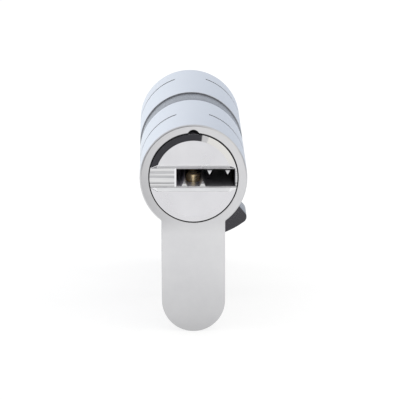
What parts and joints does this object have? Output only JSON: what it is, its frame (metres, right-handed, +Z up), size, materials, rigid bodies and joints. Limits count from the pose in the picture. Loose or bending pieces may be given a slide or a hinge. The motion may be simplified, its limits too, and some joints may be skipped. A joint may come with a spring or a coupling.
{
  "type": "euro profile double lock cylinder",
  "caption": "Double-sided euro profile lock cylinder with dimple-key plugs, clutch and turning cam, which throws the bolt of a mortice lock.",
  "frame": {"origin": "centre of the fixing-screw hole in the web under the cam", "axes": "+Z up towards the lock axis 20 mm above the origin, +Y along the housing from the outside key face to the inside key face, +X to the right seen from the outside key face, along the fixing screw"},
  "size_m": [0.0175, 0.071, 0.033],
  "materials": {
    "nickel_satin": "satin nickel plate on brass",
    "nickel_plug": "fine-turned nickel plate on brass",
    "dark_steel": "oil-blackened sintered steel",
    "clutch_steel": "ground steel",
    "spring_steel": "drawn spring wire",
    "hard_steel": "hardened steel",
    "brass": "turned brass",
    "nickel_pin": "turned nickel silver"
  },
  "bodies": {
    "housing": {"housing": "nickel_satin", "front_chamber_plugs": "brass", "front_drill_pin": "hard_steel", "rear_chamber_plugs": "brass", "rear_drill_pin": "hard_steel", "front_spring_1": "spring_steel", "front_spring_2": "spring_steel", "front_spring_3": "spring_steel", "front_spring_4": "spring_steel", "front_spring_5": "spring_steel", "front_spring_6": "spring_steel", "rear_spring_1": "spring_steel", "rear_spring_2": "spring_steel", "rear_spring_3": "spring_steel", "rear_spring_4": "spring_steel", "rear_spring_5": "spring_steel", "rear_spring_6": "spring_steel"},
    "front_plug": {"front_plug": "nickel_plug", "front_circlip": "spring_steel", "front_plug_drill_pins": "hard_steel"},
    "rear_plug": {"rear_plug": "nickel_plug", "rear_circlip": "spring_steel", "rear_plug_drill_pins": "hard_steel"},
    "cam": {"cam": "dark_steel"},
    "front_clutch": {"front_clutch": "clutch_steel", "clutch_spring": "spring_steel"},
    "rear_clutch": {"rear_clutch": "clutch_steel"},
    "front_key_pin_1": {"front_key_pin_1": "brass"},
    "front_key_pin_2": {"front_key_pin_2": "brass"},
    "front_key_pin_3": {"front_key_pin_3": "brass"},
    "front_key_pin_4": {"front_key_pin_4": "brass"},
    "front_key_pin_5": {"front_key_pin_5": "brass"},
    "front_key_pin_6": {"front_key_pin_6": "brass"},
    "rear_key_pin_1": {"rear_key_pin_1": "brass"},
    "rear_key_pin_2": {"rear_key_pin_2": "brass"},
    "rear_key_pin_3": {"rear_key_pin_3": "brass"},
    "rear_key_pin_4": {"rear_key_pin_4": "brass"},
    "rear_key_pin_5": {"rear_key_pin_5": "brass"},
    "rear_key_pin_6": {"rear_key_pin_6": "brass"},
    "front_driver_pin_1": {"front_driver_pin_1": "nickel_pin"},
    "front_driver_pin_2": {"front_driver_pin_2": "nickel_pin"},
    "front_driver_pin_3": {"front_driver_pin_3": "nickel_pin"},
    "front_driver_pin_4": {"front_driver_pin_4": "nickel_pin"},
    "front_driver_pin_5": {"front_driver_pin_5": "nickel_pin"},
    "front_driver_pin_6": {"front_driver_pin_6": "nickel_pin"},
    "rear_driver_pin_1": {"rear_driver_pin_1": "nickel_pin"},
    "rear_driver_pin_2": {"rear_driver_pin_2": "nickel_pin"},
    "rear_driver_pin_3": {"rear_driver_pin_3": "nickel_pin"},
    "rear_driver_pin_4": {"rear_driver_pin_4": "nickel_pin"},
    "rear_driver_pin_5": {"rear_driver_pin_5": "nickel_pin"},
    "rear_driver_pin_6": {"rear_driver_pin_6": "nickel_pin"}
  },
  "joints": [
    {"name": "front_plug_turn", "type": "hinge", "parent": "housing", "child": "front_plug", "pos_m": [0, 0, 0.02], "axis": [0, 1, 0], "continuous": true},
    {"name": "cam_turn", "type": "hinge", "parent": "housing", "child": "cam", "pos_m": [0, 0, 0.02], "axis": [0, 1, 0], "continuous": true},
    {"name": "rear_plug_turn", "type": "hinge", "parent": "housing", "child": "rear_plug", "pos_m": [0, 0, 0.02], "axis": [0, 1, 0], "continuous": true},
    {"name": "front_clutch_slide", "type": "slide", "parent": "front_plug", "child": "front_clutch", "axis": [0, -1, 0], "range_m": [0, 0.00085]},
    {"name": "rear_clutch_slide", "type": "slide", "parent": "rear_plug", "child": "rear_clutch", "axis": [0, -1, 0], "range_m": [0, 0.00085]},
    {"name": "front_key_pin_1_lift", "type": "slide", "parent": "front_plug", "child": "front_key_pin_1", "axis": [0, 0, 1], "range_m": [0, 0.0006]},
    {"name": "front_driver_pin_1_travel", "type": "slide", "parent": "housing", "child": "front_driver_pin_1", "axis": [0, 0, 1], "range_m": [-0.0015, 0], "stiffness_N_per_m": 120, "springref_m": 0.004, "deforming": ["front_spring_1"]},
    {"name": "front_key_pin_2_lift", "type": "slide", "parent": "front_plug", "child": "front_key_pin_2", "axis": [0, 0, 1], "range_m": [0, 0.0006]},
    {"name": "front_driver_pin_2_travel", "type": "slide", "parent": "housing", "child": "front_driver_pin_2", "axis": [0, 0, 1], "range_m": [-0.0015, 0], "stiffness_N_per_m": 120, "springref_m": 0.004, "deforming": ["front_spring_2"]},
    {"name": "front_key_pin_3_lift", "type": "slide", "parent": "front_plug", "child": "front_key_pin_3", "axis": [0, 0, 1], "range_m": [0, 0.0006]},
    {"name": "front_driver_pin_3_travel", "type": "slide", "parent": "housing", "child": "front_driver_pin_3", "axis": [0, 0, 1], "range_m": [-0.0015, 0], "stiffness_N_per_m": 120, "springref_m": 0.004, "deforming": ["front_spring_3"]},
    {"name": "front_key_pin_4_lift", "type": "slide", "parent": "front_plug", "child": "front_key_pin_4", "axis": [0, 0, 1], "range_m": [0, 0.0006]},
    {"name": "front_driver_pin_4_travel", "type": "slide", "parent": "housing", "child": "front_driver_pin_4", "axis": [0, 0, 1], "range_m": [-0.0015, 0], "stiffness_N_per_m": 120, "springref_m": 0.004, "deforming": ["front_spring_4"]},
    {"name": "front_key_pin_5_lift", "type": "slide", "parent": "front_plug", "child": "front_key_pin_5", "axis": [0, 0, 1], "range_m": [0, 0.0006]},
    {"name": "front_driver_pin_5_travel", "type": "slide", "parent": "housing", "child": "front_driver_pin_5", "axis": [0, 0, 1], "range_m": [-0.0015, 0], "stiffness_N_per_m": 120, "springref_m": 0.004, "deforming": ["front_spring_5"]},
    {"name": "front_key_pin_6_lift", "type": "slide", "parent": "front_plug", "child": "front_key_pin_6", "axis": [0, 0, 1], "range_m": [0, 0.0006]},
    {"name": "front_driver_pin_6_travel", "type": "slide", "parent": "housing", "child": "front_driver_pin_6", "axis": [0, 0, 1], "range_m": [-0.0015, 0], "stiffness_N_per_m": 120, "springref_m": 0.004, "deforming": ["front_spring_6"]},
    {"name": "rear_key_pin_1_lift", "type": "slide", "parent": "rear_plug", "child": "rear_key_pin_1", "axis": [0, 0, 1], "range_m": [0, 0.0006]},
    {"name": "rear_driver_pin_1_travel", "type": "slide", "parent": "housing", "child": "rear_driver_pin_1", "axis": [0, 0, 1], "range_m": [-0.0015, 0], "stiffness_N_per_m": 120, "springref_m": 0.004, "deforming": ["rear_spring_1"]},
    {"name": "rear_key_pin_2_lift", "type": "slide", "parent": "rear_plug", "child": "rear_key_pin_2", "axis": [0, 0, 1], "range_m": [0, 0.0006]},
    {"name": "rear_driver_pin_2_travel", "type": "slide", "parent": "housing", "child": "rear_driver_pin_2", "axis": [0, 0, 1], "range_m": [-0.0015, 0], "stiffness_N_per_m": 120, "springref_m": 0.004, "deforming": ["rear_spring_2"]},
    {"name": "rear_key_pin_3_lift", "type": "slide", "parent": "rear_plug", "child": "rear_key_pin_3", "axis": [0, 0, 1], "range_m": [0, 0.0006]},
    {"name": "rear_driver_pin_3_travel", "type": "slide", "parent": "housing", "child": "rear_driver_pin_3", "axis": [0, 0, 1], "range_m": [-0.0015, 0], "stiffness_N_per_m": 120, "springref_m": 0.004, "deforming": ["rear_spring_3"]},
    {"name": "rear_key_pin_4_lift", "type": "slide", "parent": "rear_plug", "child": "rear_key_pin_4", "axis": [0, 0, 1], "range_m": [0, 0.0006]},
    {"name": "rear_driver_pin_4_travel", "type": "slide", "parent": "housing", "child": "rear_driver_pin_4", "axis": [0, 0, 1], "range_m": [-0.0015, 0], "stiffness_N_per_m": 120, "springref_m": 0.004, "deforming": ["rear_spring_4"]},
    {"name": "rear_key_pin_5_lift", "type": "slide", "parent": "rear_plug", "child": "rear_key_pin_5", "axis": [0, 0, 1], "range_m": [0, 0.0006]},
    {"name": "rear_driver_pin_5_travel", "type": "slide", "parent": "housing", "child": "rear_driver_pin_5", "axis": [0, 0, 1], "range_m": [-0.0015, 0], "stiffness_N_per_m": 120, "springref_m": 0.004, "deforming": ["rear_spring_5"]},
    {"name": "rear_key_pin_6_lift", "type": "slide", "parent": "rear_plug", "child": "rear_key_pin_6", "axis": [0, 0, 1], "range_m": [0, 0.0006]},
    {"name": "rear_driver_pin_6_travel", "type": "slide", "parent": "housing", "child": "rear_driver_pin_6", "axis": [0, 0, 1], "range_m": [-0.0015, 0], "stiffness_N_per_m": 120, "springref_m": 0.004, "deforming": ["rear_spring_6"]}
  ],
  "couplings": [
    {"joint": "cam_turn", "follows": "front_plug_turn", "ratio": 1},
    {"joint": "rear_clutch_slide", "follows": "front_clutch_slide", "ratio": 1}
  ]
}
